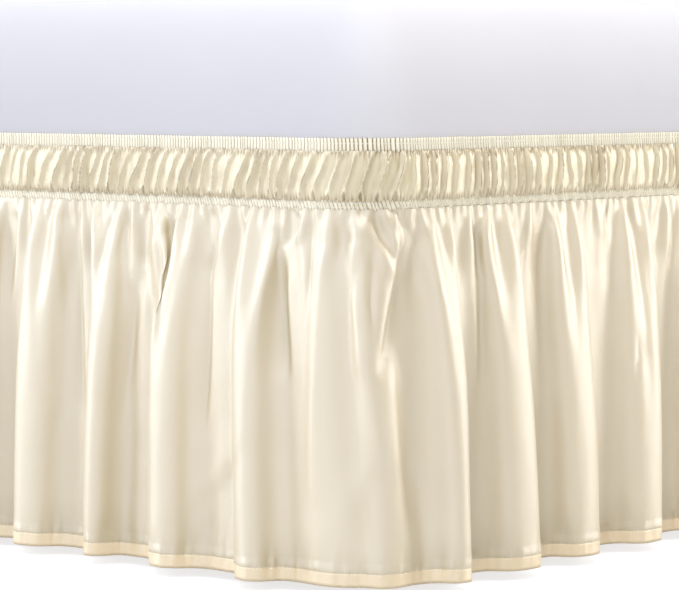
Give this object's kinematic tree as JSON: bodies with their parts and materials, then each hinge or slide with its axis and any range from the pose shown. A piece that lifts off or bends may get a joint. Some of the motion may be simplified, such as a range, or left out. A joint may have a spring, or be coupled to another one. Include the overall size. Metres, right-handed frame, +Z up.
{
  "type": "bed skirt on a bed",
  "caption": "Gathered cloth bed skirt with an elastic ruffled heading, wrapped round a mattress on a low base and hanging in soft folds to just above the floor.",
  "frame": {"origin": "on the floor, under the middle of the bed", "axes": "+Z up, +Y along the bed towards its head end, +X across the bed"},
  "size_m": [1.0717, 1.9848, 0.515],
  "materials": {
    "satin": "cream satin-like microfibre with a soft sheen",
    "elastic": "shirred cream cloth over elastic",
    "mattress_cloth": "matt white cotton",
    "base_board": "plain oiled",
    "leg_wood": "satin varnish"
  },
  "bodies": {
    "root": {"mattress": "mattress_cloth", "bed_base": "base_board", "leg_1": "leg_wood", "leg_2": "leg_wood", "leg_3": "leg_wood", "leg_4": "leg_wood", "elastic_top": "elastic", "heading_ruffle": "satin", "elastic_lower": "elastic", "skirt_drop": "satin"}
  },
  "joints": []
}
